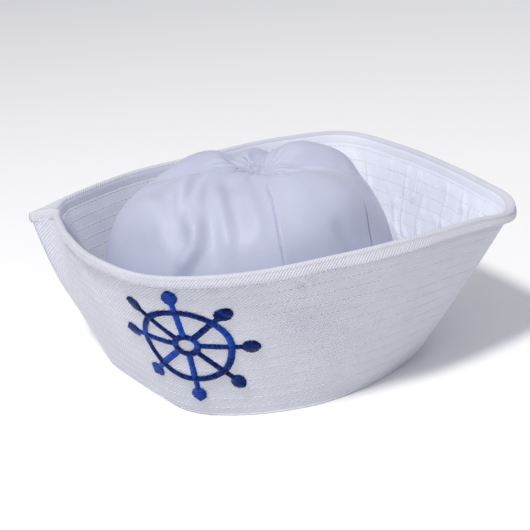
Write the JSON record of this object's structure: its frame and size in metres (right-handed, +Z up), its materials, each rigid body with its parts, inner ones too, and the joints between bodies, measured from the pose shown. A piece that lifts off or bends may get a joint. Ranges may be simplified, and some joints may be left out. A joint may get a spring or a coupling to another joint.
{
  "type": "sailor cap",
  "caption": "White cloth sailor cap with a gathered crown, a turned-up stitched brim with pinched corners and an embroidered ship's wheel.",
  "frame": {"origin": "bottom middle of the cap's box, on the surface that it stands on", "axes": "+X along the cap from the sharp brim corner to the rounded one, -Y towards the side with the ship's wheel, +Z up"},
  "size_m": [0.3036, 0.2678, 0.1263],
  "materials": {
    "brim_twill": "bleached cotton twill, matt, quilted with rows of white stitching",
    "binding_twill": "bleached cotton twill cut on the bias, matt",
    "crown_sateen": "thin white sateen with a soft sheen",
    "blue_thread": "royal blue satin-stitch embroidery thread with a silky gloss"
  },
  "bodies": {
    "root": {"brim": "brim_twill", "rim_binding": "binding_twill", "crown": "crown_sateen", "ship_wheel": "blue_thread"}
  },
  "joints": []
}
